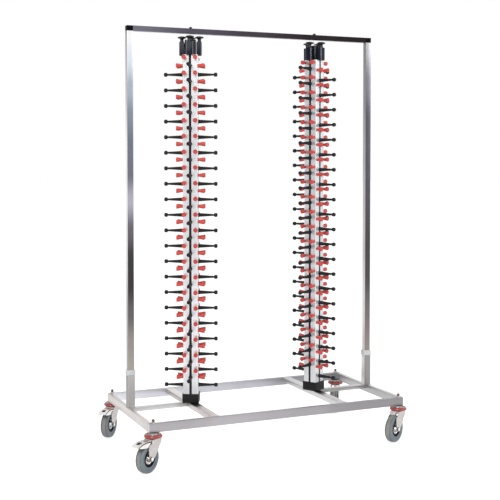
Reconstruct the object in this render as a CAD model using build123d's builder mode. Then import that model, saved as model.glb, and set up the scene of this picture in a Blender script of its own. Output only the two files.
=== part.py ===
from build123d import *
import os
from math import atan2, degrees

# Plate dispenser cart: a wheeled base frame with a hoop over it and two turning columns.
# Each column holds plates on ball-ended arms, clamped from above by pairs of rubber cups.
# Millimetres, +Z up, +X to the right, the front towards -Y.
# The origin is on the floor, under the centre of the base frame.

os.makedirs("parts", exist_ok=True)

# ---------------------------------------------------------------- driving dimensions
# base frame
frame_length = 1315.0
frame_depth = 675.0
rail_height = 40.0
rail_width = 20.0
rail_wall = 1.5
tube_corner = 1.5
cross_rail_width = 42.0
cross_rail_height = 25.0
mid_bar_width = 25.0
mid_bar_height = 20.0
column_spacing = 666.0

# hoop
post_size = 30.0
post_wall = 1.5
post_inset = 17.5
bar_height = 25.0
bar_clearance = 10.1
socket_size = 35.0
socket_height = 153.5
socket_clearance = 0.5
post_foot_gap = 2.0
collar_size = 39.0
collar_height = 27.0
collar_edge = 3.0
joint_spigot = 28.0
spigot_clearance = 0.3

# column pin, through the top bar
pin_diameter = 6.0
pin_clearance = 0.4
pin_engagement = 30.0
cap_nut_width = 16.0
cap_nut_height = 5.0
cap_nut_dome = 4.0
cap_nut_crown = 8.0

# column
column_width = 72.0
column_head = 14.0
column_corner = 4.0
slot_width = 12.0
lip = 3.0
groove_depth = 3.6
groove_width = 19.6
profile_depth = 9.0
core_wall = 2.0
slide_gap = 0.3
foot_width = 80.0
foot_height = 43.0
foot_floor = 6.0
foot_corner = 4.0
foot_clearance = 0.3
pivot_gap = 0.4
pivot_diameter = 16.0
pivot_clearance = 0.4
pivot_length = 18.0
cap_width = 54.0
cap_height = 72.0
cap_chamfer = 8.0
plug_depth = 30.0
left_turn = 25.7
right_turn = 61.3

# arms on their rails
levels = 21
pitch = 75.0
first_arm_height = 82.5
arm_length = 93.0
arm_root = 20.0
arm_neck = 9.0
arm_ball = 19.0
arm_face_gap = 0.3
arm_seat_gap = 0.1
rail_bottom_height = 24.0
left_front_setting = 4.0
left_side_setting = 0.0
left_rear_setting = 0.0
left_outer_setting = 0.0
right_front_setting = 12.0
right_outer_setting = -9.0
right_rear_setting = 4.0
right_side_setting = 12.0

# cups
cup_lift = 42.0
cup_offset = 27.5
cup_length = 32.0
cup_root = 11.0
cup_tip = 21.0
cup_seat_gap = 0.1

# adjusting knobs and their housings
housing_height = 62.0
housing_width = 34.0
housing_depth = 24.0
housing_wall = 3.0
housing_roof = 6.0
housing_chamfer = 2.5
knob_distance = 42.0
knob_diameter = 44.0
knob_rim = 3.5
knob_crown = 5.5
knob_crown_diameter = 28.0
knob_neck_diameter = 17.0
knob_neck_height = 20.0
knob_gap = 0.4
spindle_diameter = 8.0
spindle_clearance = 0.5
spindle_foot_gap = 3.0
lug_height = 12.0
lug_width = 18.0
lug_rise = 26.0
turned_sides = 8

# casters
wheel_diameter = 130.0
wheel_width = 36.0
wheel_sides = 16
tread_width = 26.0
sidewall_diameter = 114.0
hub_diameter = 72.0
hub_width = 24.0
hub_fit = 0.2
boss_diameter = 24.0
boss_width = 41.0
axle_diameter = 10.0
axle_clearance = 0.3
axle_head_diameter = 18.0
axle_head = 6.0
caster_inset_x = 22.0
trail = 43.0
front_left_turn = 213.7
front_right_turn = 209.7
rear_left_turn = 229.9
rear_right_turn = 236.0
fork_inner_width = 42.0
fork_sheet = 3.0
fork_wheel_gap = 15.0
fork_crown = 4.0
fork_skirt = 18.0
fork_front = 30.0
fork_rear = 38.0
fork_waist_reach = 60.0
fork_waist_drop = 41.0
fork_end = 12.0
race_diameter = 50.0
race_height = 22.6
race_gap = 0.4
kingpin_diameter = 14.0
kingpin_clearance = 0.4
kingpin_head_diameter = 24.0
kingpin_head = 3.0
bumper_diameter = 82.0
bumper_height = 14.5
bumper_bevel = 5.0
bumper_sides = 12
bumper_fit = 0.2
stem_diameter = 12.0
stem_clearance = 0.4
dome_nut_width = 18.0
dome_nut_height = 10.0
dome_height = 12.0
dome_crown = 8.0
pedal_width = 40.0
pedal_sheet = 3.0
pedal_pivot_reach = 31.0
pedal_pivot_drop = 11.0
pedal_rise = 2.5
pedal_tip_reach = 133.0
pedal_tip_drop = 6.0
pedal_lip = 11.0
pedal_lip_drop = 5.0
pedal_pin_diameter = 6.0
pedal_pin_clearance = 0.4
brake_shoe_reach = 45.0
brake_shoe_length = 12.0
brake_shoe_width = 20.0
brake_shoe_gap = 4.5

# ---------------------------------------------------------------- places worked out from them
fork_crown_height = wheel_diameter + fork_wheel_gap
fork_top_height = fork_crown_height + fork_crown
fork_waist_height = fork_top_height - fork_waist_drop
pedal_pivot_height = fork_top_height - pedal_pivot_drop
pedal_tip_height = pedal_pivot_height - pedal_tip_drop
race_base = fork_top_height + race_gap
caster_height = race_base + race_height
frame_top = caster_height + rail_height
rail_y = (frame_depth - rail_width) / 2
end_rail_x = (frame_length - rail_width) / 2
cross_rail_length = frame_depth - 2 * rail_width
cross_rail_x = column_spacing / 2
mid_bar_start = cross_rail_x + cross_rail_width / 2
mid_bar_end = frame_length / 2 - rail_width
column_height = first_arm_height + (levels - 0.5) * pitch + cup_lift + column_head
knob_top = housing_height + knob_gap + knob_neck_height + knob_rim + knob_crown
hoop_height = column_height + knob_top + bar_clearance + bar_height
post_x = frame_length / 2 - post_inset
joint_base = frame_top + hoop_height - bar_height
bar_length = 2 * post_x - post_size
half_column = column_width / 2
core_half = half_column - profile_depth
column_base = pivot_gap + foot_floor
slot_half = slot_width / 2
groove_half = groove_width / 2
wheel_radius = wheel_diameter / 2
caster_x = frame_length / 2 - caster_inset_x
faces = ("front", "right", "rear", "left")
left_settings = (left_front_setting, left_side_setting, left_rear_setting, left_outer_setting)
right_settings = (right_front_setting, right_outer_setting, right_rear_setting, right_side_setting)
columns = {"left": (-1, left_turn, left_settings), "right": (1, right_turn, right_settings)}
braked = ("front_left", "rear_left")
corners = {
    "front_left": (-1, -1, front_left_turn),
    "front_right": (1, -1, front_right_turn),
    "rear_left": (-1, 1, rear_left_turn),
    "rear_right": (1, 1, rear_right_turn),
}


def slope(wide, narrow, length):
    """Draft angle that narrows a section from one width to another over a length."""
    return degrees(atan2((wide - narrow) / 2, length))


def tube_section(width, height, wall):
    """Rectangular tube outline with bevelled outer corners, centred on the current place."""
    outline = Rectangle(width, height)
    chamfer(outline.vertices(), tube_corner)
    Rectangle(width - 2 * wall, height - 2 * wall, mode=Mode.SUBTRACT)


def finish(builder, name):
    """Name a finished sub-part and write its STEP file."""
    builder.part.label = name
    export_step(builder.part, f"parts/{name}.step")


def column_plane(side, quarter=0, height=0.0):
    """Plane across a column, turned so that -Y is the outward normal of one of its faces."""
    sign, turn, _ = columns[side]
    plane = Plane((sign * cross_rail_x, 0, frame_top + height))
    return plane.rotated((0, 0, 90 * quarter - turn))


def face_place(side, quarter, out, across, height, inwards=False):
    """Plane square to a column face's outward line, at a distance out from the column's axis."""
    plane = column_plane(side, quarter)
    origin = plane.from_local_coords(Vector(across, -out, height))
    return Plane(origin, x_dir=plane.x_dir, z_dir=plane.y_dir if inwards else -plane.y_dir)


def level_phase(quarter):
    """Front and rear faces have their levels half a pitch above those of the side faces."""
    return pitch / 2 if quarter % 2 == 0 else 0.0


def caster_plane(corner, height=0.0):
    """Plane at a caster's swivel axis, +X along its trail and +Y along its axle."""
    x_sign, y_sign, turn = corners[corner]
    return Plane((x_sign * caster_x, y_sign * rail_y, height)).rotated((0, 0, turn))


def upright_plane(plane, across, out=0.0, height=0.0):
    """Vertical plane beside a caster's axle: local X along the trail, local Y up."""
    origin = plane.from_local_coords(Vector(out, across, height))
    return Plane(origin, x_dir=plane.x_dir, z_dir=-plane.y_dir)


# ---------------------------------------------------------------- base frame
for name, y in (("front_rail", -rail_y), ("rear_rail", rail_y)):
    with BuildPart() as long_rail:
        with BuildSketch(Plane.YZ.offset(-frame_length / 2)):
            with Locations((y, frame_top - rail_height / 2)):
                outline = Rectangle(rail_width, rail_height)
            chamfer(outline.vertices(), tube_corner)
        extrude(amount=frame_length)
        with BuildSketch(Plane.YZ.offset(-frame_length / 2 + rail_wall)):
            with Locations((y, frame_top - rail_height / 2)):
                Rectangle(rail_width - 2 * rail_wall, rail_height - 2 * rail_wall)
        extrude(amount=frame_length - 2 * rail_wall, mode=Mode.SUBTRACT)
        with BuildSketch(Plane.XY.offset(caster_height)):
            with Locations((-caster_x, y), (caster_x, y)):
                RegularPolygon(stem_diameter / 2 + stem_clearance, turned_sides, major_radius=False)
        extrude(amount=rail_height, mode=Mode.SUBTRACT)
    finish(long_rail, name)

for name, x in (("left_end_rail", -end_rail_x), ("right_end_rail", end_rail_x)):
    with BuildPart() as end_rail:
        with BuildSketch(Plane.XZ.offset(-cross_rail_length / 2)):
            with Locations((x, frame_top - rail_height / 2)):
                tube_section(rail_width, rail_height, rail_wall)
        extrude(amount=cross_rail_length)
    finish(end_rail, name)

for name, x in (("left_cross_rail", -cross_rail_x), ("right_cross_rail", cross_rail_x)):
    with BuildPart() as cross_rail:
        with BuildSketch(Plane.XZ.offset(-cross_rail_length / 2)):
            with Locations((x, frame_top - cross_rail_height / 2)):
                tube_section(cross_rail_width, cross_rail_height, rail_wall)
        extrude(amount=cross_rail_length)
        with BuildSketch(Plane.XY.offset(frame_top)):
            with Locations((x, 0)):
                RegularPolygon(pivot_diameter / 2 + pivot_clearance, turned_sides, major_radius=False)
        extrude(amount=-cross_rail_height / 2, mode=Mode.SUBTRACT)
    finish(cross_rail, name)

for name, x_sign in (("left_mid_bar", -1), ("right_mid_bar", 1)):
    with BuildPart() as mid_bar:
        with BuildSketch(Plane.YZ.offset(x_sign * mid_bar_start)):
            with Locations((0, frame_top - mid_bar_height / 2)):
                tube_section(mid_bar_width, mid_bar_height, rail_wall)
        extrude(amount=x_sign * (mid_bar_end - mid_bar_start))
    finish(mid_bar, name)

# ---------------------------------------------------------------- hoop
with BuildPart() as post_sockets:
    with BuildSketch(Plane.XY.offset(frame_top)):
        with Locations((-post_x, 0), (post_x, 0)):
            tube_section(socket_size, socket_size, (socket_size - post_size) / 2 - socket_clearance)
    extrude(amount=socket_height)
finish(post_sockets, "post_sockets")

with BuildPart() as post_collars:
    with BuildSketch(Plane.XY.offset(frame_top + socket_height)):
        with Locations((-post_x, 0), (post_x, 0)):
            Rectangle(collar_size, collar_size)
    extrude(amount=collar_height)
    chamfer(post_collars.edges(), collar_edge)
    with BuildSketch(Plane.XY.offset(frame_top + socket_height)):
        with Locations((-post_x, 0), (post_x, 0)):
            collar_bore = post_size + 2 * spigot_clearance
            Rectangle(collar_bore, collar_bore)
    extrude(amount=collar_height, mode=Mode.SUBTRACT)
finish(post_collars, "post_collars")

for name, x in (("left_post", -post_x), ("right_post", post_x)):
    with BuildPart() as post:
        with BuildSketch(Plane.XY.offset(frame_top + post_foot_gap)):
            with Locations((x, 0)):
                tube_section(post_size, post_size, post_wall)
        extrude(amount=hoop_height - bar_height - post_foot_gap)
    finish(post, name)

with BuildPart() as top_bar:
    with BuildSketch(Plane.YZ.offset(-bar_length / 2)):
        with Locations((0, joint_base + bar_height / 2)):
            tube_section(post_size, bar_height, post_wall)
    extrude(amount=bar_length)
    with BuildSketch(Plane.XY.offset(joint_base)):
        with Locations((-cross_rail_x, 0), (cross_rail_x, 0)):
            RegularPolygon(pin_diameter / 2 + pin_clearance, turned_sides, major_radius=False)
    extrude(amount=bar_height, mode=Mode.SUBTRACT)
finish(top_bar, "top_bar")

with BuildPart() as corner_joints:
    spigot_inset = 2 * post_wall + 2 * spigot_clearance
    spigot = post_size - spigot_inset
    with BuildSketch(Plane.XY.offset(joint_base)):
        with Locations((-post_x, 0), (post_x, 0)):
            Rectangle(post_size, post_size)
    extrude(amount=bar_height)
    with BuildSketch(Plane.XY.offset(joint_base - joint_spigot)):
        with Locations((-post_x, 0), (post_x, 0)):
            Rectangle(spigot, spigot)
    extrude(amount=joint_spigot)
    for x_sign in (-1, 1):
        with BuildSketch(Plane.YZ.offset(x_sign * (post_x - post_size / 2))):
            with Locations((0, joint_base + bar_height / 2)):
                Rectangle(spigot, bar_height - spigot_inset)
        extrude(amount=-x_sign * joint_spigot)
finish(corner_joints, "corner_joints")

with BuildPart() as column_pins:
    pin_places = [(-cross_rail_x, 0), (cross_rail_x, 0)]
    cap_top = frame_top + column_height + cap_height
    hoop_top = frame_top + hoop_height
    with BuildSketch(Plane.XY.offset(cap_top - pin_engagement)):
        with Locations(*pin_places):
            RegularPolygon(pin_diameter / 2, turned_sides)
    extrude(amount=hoop_top - cap_top + pin_engagement)
    with BuildSketch(Plane.XY.offset(hoop_top)):
        with Locations(*pin_places):
            RegularPolygon(cap_nut_width / 2, 6, major_radius=False)
    extrude(amount=cap_nut_height)
    with BuildSketch(Plane.XY.offset(hoop_top + cap_nut_height)):
        with Locations(*pin_places):
            RegularPolygon(cap_nut_width / 2, 6, major_radius=False)
    extrude(amount=cap_nut_dome, taper=slope(cap_nut_width, cap_nut_crown, cap_nut_dome))
finish(column_pins, "column_pins")

# ---------------------------------------------------------------- columns
with BuildPart() as arm:
    shank = arm_length - arm_ball
    with BuildSketch(Plane.XY):
        Rectangle(arm_root, arm_root)
    extrude(amount=shank, taper=slope(arm_root, arm_neck, shank))
    ball_middle = Plane.XY.offset(arm_length - arm_ball / 2)
    with BuildSketch(ball_middle):
        Rectangle(arm_ball, arm_ball)
    ball_half = extrude(amount=arm_ball / 2, taper=slope(arm_ball, arm_neck, arm_ball / 2))
    mirror(ball_half, about=ball_middle)

with BuildPart() as cup:
    with BuildSketch(Plane.XY):
        Rectangle(cup_tip, cup_tip)
    extrude(amount=cup_length, taper=slope(cup_tip, cup_root, cup_length))

with BuildSketch() as corner_section:
    groove_floor = half_column - lip - groove_depth
    with BuildLine():
        Polyline(
            (slot_half, half_column),
            (half_column - column_corner, half_column),
            (half_column, half_column - column_corner),
            (half_column, slot_half),
            (half_column - lip, slot_half),
            (half_column - lip, groove_half),
            (groove_floor, groove_half),
            (groove_floor, slot_half),
            (core_half, slot_half),
            (core_half, core_half),
            (slot_half, core_half),
            (slot_half, groove_floor),
            (groove_half, groove_floor),
            (groove_half, half_column - lip),
            (slot_half, half_column - lip),
            close=True,
        )
    make_face()

for side in columns:
    with BuildPart() as profiles:
        with BuildSketch(column_plane(side, height=column_base)):
            with PolarLocations(0, 4):
                add(corner_section.sketch)
        extrude(amount=column_height - column_base)
    finish(profiles, f"{side}_column_profiles")

    with BuildPart() as core:
        core_inner = 2 * (core_half - core_wall)
        with BuildSketch(column_plane(side, height=column_base)):
            Rectangle(2 * core_half, 2 * core_half)
            Rectangle(core_inner, core_inner, mode=Mode.SUBTRACT)
        extrude(amount=column_height - column_base)
    finish(core, f"{side}_column_core")

    with BuildPart() as foot:
        with BuildSketch(column_plane(side, height=pivot_gap)):
            outline = Rectangle(foot_width, foot_width)
            chamfer(outline.vertices(), foot_corner)
        extrude(amount=foot_height)
        with BuildSketch(column_plane(side, height=column_base)):
            foot_bore = column_width + 2 * foot_clearance
            Rectangle(foot_bore, foot_bore)
        extrude(amount=foot_height, mode=Mode.SUBTRACT)
        with BuildSketch(column_plane(side, height=pivot_gap)):
            RegularPolygon(pivot_diameter / 2, turned_sides)
        extrude(amount=-pivot_length)
    finish(foot, f"{side}_column_foot")

    with BuildPart() as cap:
        with BuildSketch(column_plane(side, height=column_height)):
            outline = Rectangle(cap_width, cap_width)
            chamfer(outline.vertices(), cap_chamfer)
        extrude(amount=cap_height)
        with BuildSketch(column_plane(side, height=column_height - plug_depth)):
            plug_width = core_inner - 2 * foot_clearance
            Rectangle(plug_width, plug_width)
        extrude(amount=plug_depth)
        with BuildSketch(column_plane(side, height=column_height + cap_height)):
            RegularPolygon(pin_diameter / 2 + pin_clearance, turned_sides, major_radius=False)
        extrude(amount=-(pin_engagement + pin_diameter), mode=Mode.SUBTRACT)
    finish(cap, f"{side}_column_cap")

    with BuildPart() as housings:
        for quarter in range(4):
            shell_plane = column_plane(side, quarter, column_height)
            with BuildSketch(shell_plane):
                with Locations((0, -knob_distance)):
                    outline = Rectangle(housing_width, housing_depth)
                chamfer(outline.vertices().group_by(Axis.Y)[0], housing_chamfer)
            extrude(amount=housing_height)
            with BuildSketch(shell_plane):
                with Locations((0, -knob_distance + housing_wall)):
                    Rectangle(housing_width - 2 * housing_wall, housing_depth)
            extrude(amount=housing_height - housing_roof, mode=Mode.SUBTRACT)
            with BuildSketch(shell_plane):
                with Locations((0, -knob_distance)):
                    RegularPolygon(
                        spindle_diameter / 2 + spindle_clearance, turned_sides, major_radius=False
                    )
            extrude(amount=housing_height, mode=Mode.SUBTRACT)
    finish(housings, f"{side}_column_housings")

    cup_places = [
        face_place(
            side, quarter, half_column + cup_seat_gap + cup_length, across,
            first_arm_height + level_phase(quarter) + level * pitch + cup_lift, inwards=True,
        ).location
        for quarter in range(4)
        for level in range(levels)
        for across in (-cup_offset, cup_offset)
    ]
    with BuildPart() as cups:
        with Locations(*cup_places):
            add(cup.part)
    finish(cups, f"{side}_column_cups")

    settings = columns[side][2]
    rail_front = half_column + arm_face_gap - arm_seat_gap
    flange_front = half_column - lip - slide_gap
    flange_back = groove_floor + slide_gap
    lug_out = knob_distance + housing_depth / 2 - housing_wall - 2 * slide_gap
    for quarter, face in enumerate(faces):
        setting = settings[quarter]
        first_arm = first_arm_height + level_phase(quarter) + setting
        arm_places = [
            face_place(side, quarter, half_column + arm_face_gap, 0, first_arm + level * pitch).location
            for level in range(levels)
        ]
        with BuildPart() as rail:
            with BuildSketch(column_plane(side, quarter, rail_bottom_height + setting)):
                with Locations((0, -(flange_front + flange_back) / 2)):
                    Rectangle(groove_width - 2 * slide_gap, flange_front - flange_back)
                with Locations((0, -(rail_front + flange_back) / 2)):
                    Rectangle(slot_width - 2 * slide_gap, rail_front - flange_back)
            extrude(amount=column_height + lug_rise + lug_height - rail_bottom_height)
            with BuildSketch(column_plane(side, quarter, column_height + lug_rise + setting)):
                with Locations((0, -(lug_out + flange_back) / 2)):
                    Rectangle(lug_width, lug_out - flange_back)
                with Locations((0, -knob_distance)):
                    RegularPolygon(
                        spindle_diameter / 2 + spindle_clearance, turned_sides,
                        major_radius=False, mode=Mode.SUBTRACT,
                    )
            extrude(amount=lug_height)
            with Locations(*arm_places):
                add(arm.part)
        finish(rail, f"{side}_column_{face}_rail")

        with BuildPart() as knob:
            neck_base = column_height + housing_height + knob_gap
            rim_base = neck_base + knob_neck_height
            turned_stretches = (
                (column_height + spindle_foot_gap, neck_base, spindle_diameter, spindle_diameter),
                (neck_base, rim_base, knob_neck_diameter, knob_neck_diameter),
                (rim_base, rim_base + knob_rim, knob_diameter, knob_diameter),
                (rim_base + knob_rim, rim_base + knob_rim + knob_crown, knob_diameter, knob_crown_diameter),
            )
            for low, high, diameter, top_diameter in turned_stretches:
                with BuildSketch(column_plane(side, quarter, low)):
                    with Locations((0, -knob_distance)):
                        RegularPolygon(diameter / 2, turned_sides, major_radius=False)
                extrude(amount=high - low, taper=slope(diameter, top_diameter, high - low))
        finish(knob, f"{side}_column_{face}_knob")

# ---------------------------------------------------------------- casters
with BuildPart() as caster_stems:
    for corner in corners:
        with BuildSketch(caster_plane(corner, race_base)):
            RegularPolygon(race_diameter / 2, turned_sides)
        extrude(amount=caster_height - race_base)
        with BuildSketch(caster_plane(corner, caster_height)):
            RegularPolygon(stem_diameter / 2, turned_sides)
        extrude(amount=rail_height + dome_nut_height / 2)
        with BuildSketch(caster_plane(corner, race_base)):
            RegularPolygon(kingpin_diameter / 2, turned_sides)
        extrude(amount=-(race_base - fork_crown_height + race_gap))
        with BuildSketch(caster_plane(corner, fork_crown_height - race_gap)):
            RegularPolygon(kingpin_head_diameter / 2, turned_sides)
        extrude(amount=-kingpin_head)
finish(caster_stems, "caster_stems")

with BuildPart() as caster_nuts:
    for corner in corners:
        with BuildSketch(caster_plane(corner, frame_top)):
            RegularPolygon(dome_nut_width / 2, 6, major_radius=False)
        extrude(amount=dome_nut_height)
        with BuildSketch(caster_plane(corner, frame_top + dome_nut_height)):
            RegularPolygon(dome_nut_width / 2, 6, major_radius=False)
        extrude(amount=dome_height, taper=slope(dome_nut_width, dome_crown, dome_height))
        with BuildSketch(caster_plane(corner, frame_top)):
            RegularPolygon(stem_diameter / 2 + bumper_fit, turned_sides, major_radius=False)
        extrude(amount=dome_nut_height / 2 + bumper_fit, mode=Mode.SUBTRACT)
finish(caster_nuts, "caster_nuts")

with BuildPart() as bumper_rings:
    rim_slope = slope(bumper_diameter, bumper_diameter - 2 * bumper_bevel, bumper_height / 2)
    for corner in corners:
        ring_middle = caster_plane(corner, race_base + bumper_height / 2)
        with BuildSketch(ring_middle):
            RegularPolygon(bumper_diameter / 2, bumper_sides, major_radius=False)
        ring_half = extrude(amount=bumper_height / 2, taper=rim_slope)
        mirror(ring_half, about=ring_middle)
        with BuildSketch(caster_plane(corner, race_base)):
            RegularPolygon(race_diameter / 2 + bumper_fit, turned_sides)
        extrude(amount=bumper_height, mode=Mode.SUBTRACT)
finish(bumper_rings, "bumper_rings")

with BuildPart() as tyre_blank:
    for low, high, narrow in (
        (0, tread_width / 2, wheel_diameter),
        (tread_width / 2, wheel_width / 2, sidewall_diameter),
    ):
        with BuildSketch(Plane.XY.offset(low)):
            RegularPolygon(wheel_radius, wheel_sides, major_radius=False, rotation=180 / wheel_sides)
        extrude(amount=high - low, taper=slope(wheel_diameter, narrow, high - low))
    mirror(about=Plane.XY)
    with BuildSketch(Plane.XY.offset(-wheel_width / 2)):
        RegularPolygon(hub_diameter / 2 + hub_fit, wheel_sides, rotation=180 / wheel_sides)
    extrude(amount=wheel_width, mode=Mode.SUBTRACT)

cheek_outside = fork_inner_width / 2 + fork_sheet
for corner in corners:
    fork_plane = caster_plane(corner)
    has_brake = corner in braked
    with BuildPart() as fork:
        for across, direction in ((cheek_outside, 1), (-cheek_outside, -1)):
            with BuildSketch(upright_plane(fork_plane, across)):
                with BuildLine():
                    Polyline(
                        (-fork_front, fork_top_height),
                        (-fork_front, fork_top_height - fork_skirt),
                        (trail - fork_end, wheel_radius),
                        (trail + fork_end, wheel_radius),
                        (fork_waist_reach, fork_waist_height),
                        (fork_rear, fork_top_height - fork_skirt),
                        (fork_rear, fork_top_height),
                        close=True,
                    )
                make_face()
                with Locations((trail, wheel_radius)):
                    RegularPolygon(fork_end, turned_sides)
                if has_brake:
                    with Locations((pedal_pivot_reach, pedal_pivot_height)):
                        RegularPolygon(
                            pedal_pin_diameter / 2 + pedal_pin_clearance, turned_sides,
                            major_radius=False, mode=Mode.SUBTRACT,
                        )
            extrude(amount=direction * fork_sheet)
        with BuildSketch(caster_plane(corner, fork_crown_height)):
            with Locations(((fork_rear - fork_front) / 2, 0)):
                Rectangle(fork_rear + fork_front, fork_inner_width + 2 * fork_sheet)
            RegularPolygon(
                kingpin_diameter / 2 + kingpin_clearance, turned_sides, major_radius=False, mode=Mode.SUBTRACT
            )
        extrude(amount=fork_top_height - fork_crown_height)
        with BuildSketch(upright_plane(fork_plane, fork_inner_width / 2, trail, wheel_radius)):
            RegularPolygon(axle_diameter / 2, turned_sides)
        extrude(amount=fork_inner_width)
        for across, direction in ((cheek_outside, -1), (-cheek_outside, 1)):
            with BuildSketch(upright_plane(fork_plane, across, trail, wheel_radius)):
                RegularPolygon(axle_head_diameter / 2, 6)
            extrude(amount=direction * axle_head)
    finish(fork, f"{corner}_fork")

    with BuildPart() as tyre:
        with Locations(upright_plane(fork_plane, 0, trail, wheel_radius).location):
            add(tyre_blank.part)
    finish(tyre, f"{corner}_tyre")

    with BuildPart() as hub:
        with BuildSketch(upright_plane(fork_plane, hub_width / 2, trail, wheel_radius)):
            RegularPolygon(hub_diameter / 2, wheel_sides, rotation=180 / wheel_sides)
        extrude(amount=hub_width)
        with BuildSketch(upright_plane(fork_plane, boss_width / 2, trail, wheel_radius)):
            RegularPolygon(boss_diameter / 2, turned_sides)
        extrude(amount=boss_width)
        with BuildSketch(upright_plane(fork_plane, boss_width / 2, trail, wheel_radius)):
            RegularPolygon(axle_diameter / 2 + axle_clearance, turned_sides, major_radius=False)
        extrude(amount=boss_width, mode=Mode.SUBTRACT)
    finish(hub, f"{corner}_hub")

    if has_brake:
        pedal_top = [
            (pedal_pivot_reach - pedal_pin_diameter / 2, pedal_pivot_height + pedal_sheet / 2),
            ((pedal_pivot_reach + pedal_tip_reach) / 2, pedal_pivot_height + pedal_rise + pedal_sheet / 2),
            (pedal_tip_reach - pedal_lip, pedal_tip_height + pedal_sheet),
            (pedal_tip_reach, pedal_tip_height - pedal_lip_drop + pedal_sheet),
        ]
        pedal_under = [(reach, height - pedal_sheet) for reach, height in reversed(pedal_top)]
        with BuildPart() as pedal:
            with BuildSketch(upright_plane(fork_plane, pedal_width / 2)):
                with BuildLine():
                    Polyline(*pedal_top, *pedal_under, close=True)
                make_face()
            extrude(amount=pedal_width)
            with BuildSketch(upright_plane(fork_plane, cheek_outside)):
                with Locations((pedal_pivot_reach, pedal_pivot_height)):
                    RegularPolygon(pedal_pin_diameter / 2, turned_sides)
            extrude(amount=2 * cheek_outside)
            shoe_base = wheel_diameter + brake_shoe_gap
            with BuildSketch(upright_plane(fork_plane, brake_shoe_width / 2)):
                with Locations((brake_shoe_reach + brake_shoe_length / 2, shoe_base)):
                    Rectangle(
                        brake_shoe_length, pedal_pivot_height - shoe_base, align=(Align.CENTER, Align.MIN)
                    )
            extrude(amount=brake_shoe_width)
        finish(pedal, f"{corner}_brake_pedal")
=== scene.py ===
"""Plate dispenser cart: the visible pieces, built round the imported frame.

A wheeled steel frame carries a hoop and two turning columns. Each column has ball-ended arms on
four sliding rails and a pair of rubber cups over every arm. Metres, +Z up, the front towards -Y.
"""

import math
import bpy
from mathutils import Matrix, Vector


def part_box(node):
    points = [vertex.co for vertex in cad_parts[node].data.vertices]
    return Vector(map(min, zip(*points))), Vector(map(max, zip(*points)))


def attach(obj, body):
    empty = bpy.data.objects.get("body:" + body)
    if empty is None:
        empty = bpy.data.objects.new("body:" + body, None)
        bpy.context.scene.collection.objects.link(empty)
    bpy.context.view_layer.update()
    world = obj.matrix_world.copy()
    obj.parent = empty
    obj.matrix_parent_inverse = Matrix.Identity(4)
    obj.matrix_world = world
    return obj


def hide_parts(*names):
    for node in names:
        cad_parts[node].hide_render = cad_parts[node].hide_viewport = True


bl_info = {
    "name": "Plate dispenser cart",
    "version": (1, 0, 0),
    "blender": (4, 5, 0),
    "location": "3D View > Sidebar > Cart",
    "description": "Builds the visible pieces of a plate dispenser cart round its frame",
    "category": "Object",
}

import bmesh
import bpy
from bpy.props import FloatProperty, FloatVectorProperty, IntProperty, PointerProperty
from mathutils import Matrix, Vector

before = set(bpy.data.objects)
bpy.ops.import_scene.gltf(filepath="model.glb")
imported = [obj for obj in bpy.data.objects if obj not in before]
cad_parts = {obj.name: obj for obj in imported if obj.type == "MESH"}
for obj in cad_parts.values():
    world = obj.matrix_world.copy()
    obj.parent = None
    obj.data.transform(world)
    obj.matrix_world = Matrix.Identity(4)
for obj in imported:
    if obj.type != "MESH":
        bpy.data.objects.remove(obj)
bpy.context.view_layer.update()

MM = 0.001
X, Y, Z = 0, 1, 2
SAME = 1e-6  # Coordinates no further apart than this are the same.
DRILL_SIDES = 24
SIDES = ("left", "right")
FACES = ("front", "right", "rear", "left")
CORNERS = ("front_left", "front_right", "rear_left", "rear_right")
BRAKED = ("front_left", "rear_left")
FRAME_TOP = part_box("front_rail")[1].z
FRAME_PX = 500.0  # Width of the picture in pixels.

STEM_INSET = 0.022  # From the end of a rail to its caster's stem.
LAID_OVER = Matrix.Rotation(math.pi / 2, 4, "X")  # Lays what stands along Z over to the front.
AT_PEDAL_PIN = Matrix.Translation((0.031, 0, 0.138)) @ LAID_OVER  # In a caster's own frame.
# In mm, with heights over the frame's top:
COLUMN_HALF = 36.0  # Half of a column's width.
PIVOT_BORE, SCREW_BORE = 16.8, 9.0
RAIL_FOOT = 24.0  # Lower end of an arm rail in its middle position.
FIRST_ARM, ARM_PITCH, ARM_LEVELS = 82.5, 75.0, 21
CUP_RISE, CUP_ACROSS = 42.0, 27.5  # Over its arm, and to either side of it.
SIDE_GROOVE = 48.2  # Radius of the groove in a tyre's side.
PLAIN = (1.0, 1.0, 1.0)
GRAIN_FINE, GRAIN_LONG = 260.0, 2.2  # Scale of ground metal's grain, across it and along it.
GLOSSY = {"grain": 0.00001, "coat": 0.2, "scale": 300.0}

# Painted light and reflection: grey levels up each post, in even steps: on its sides, then on its front and
# rear.
POST_PAINTED_LIGHT = {
    "left": (
        (0.36, 0.40, 0.72, 0.96, 0.98, 0.62, 0.36),
        (0.33, 0.26, 0.13, 0.052, 0.055, 0.15, 0.46, 0.20, 0.20, 0.30, 0.50, 0.85, 1.0),
    ),
    "right": (
        (0.55, 0.72, 0.60, 0.55, 0.45, 0.33, 0.28),
        (0.25, 0.175, 0.082, 0.082, 0.105, 0.115, 0.12, 0.24, 0.56),
    ),
}
# Painted reflection tint of each post's front and rear faces, in even steps from its bottom: warm, purple,
# bluish, plain.
POST_REFLECTION_CASTS = {
    "left": (
        (1.08, 0.98, 0.91), (1.07, 0.97, 1.02), (1.06, 0.97, 1.10), (0.93, 0.99, 1.25), (0.87, 1.01, 1.24),
        (0.98, 1.00, 1.03),
    ),
    "right": (
        (1.08, 0.98, 0.92), (1.09, 0.96, 1.05), (1.07, 0.96, 1.13), (1.01, 0.97, 1.22), (0.98, 0.98, 1.25),
        (0.98, 1.00, 1.04),
    ),
}
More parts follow.
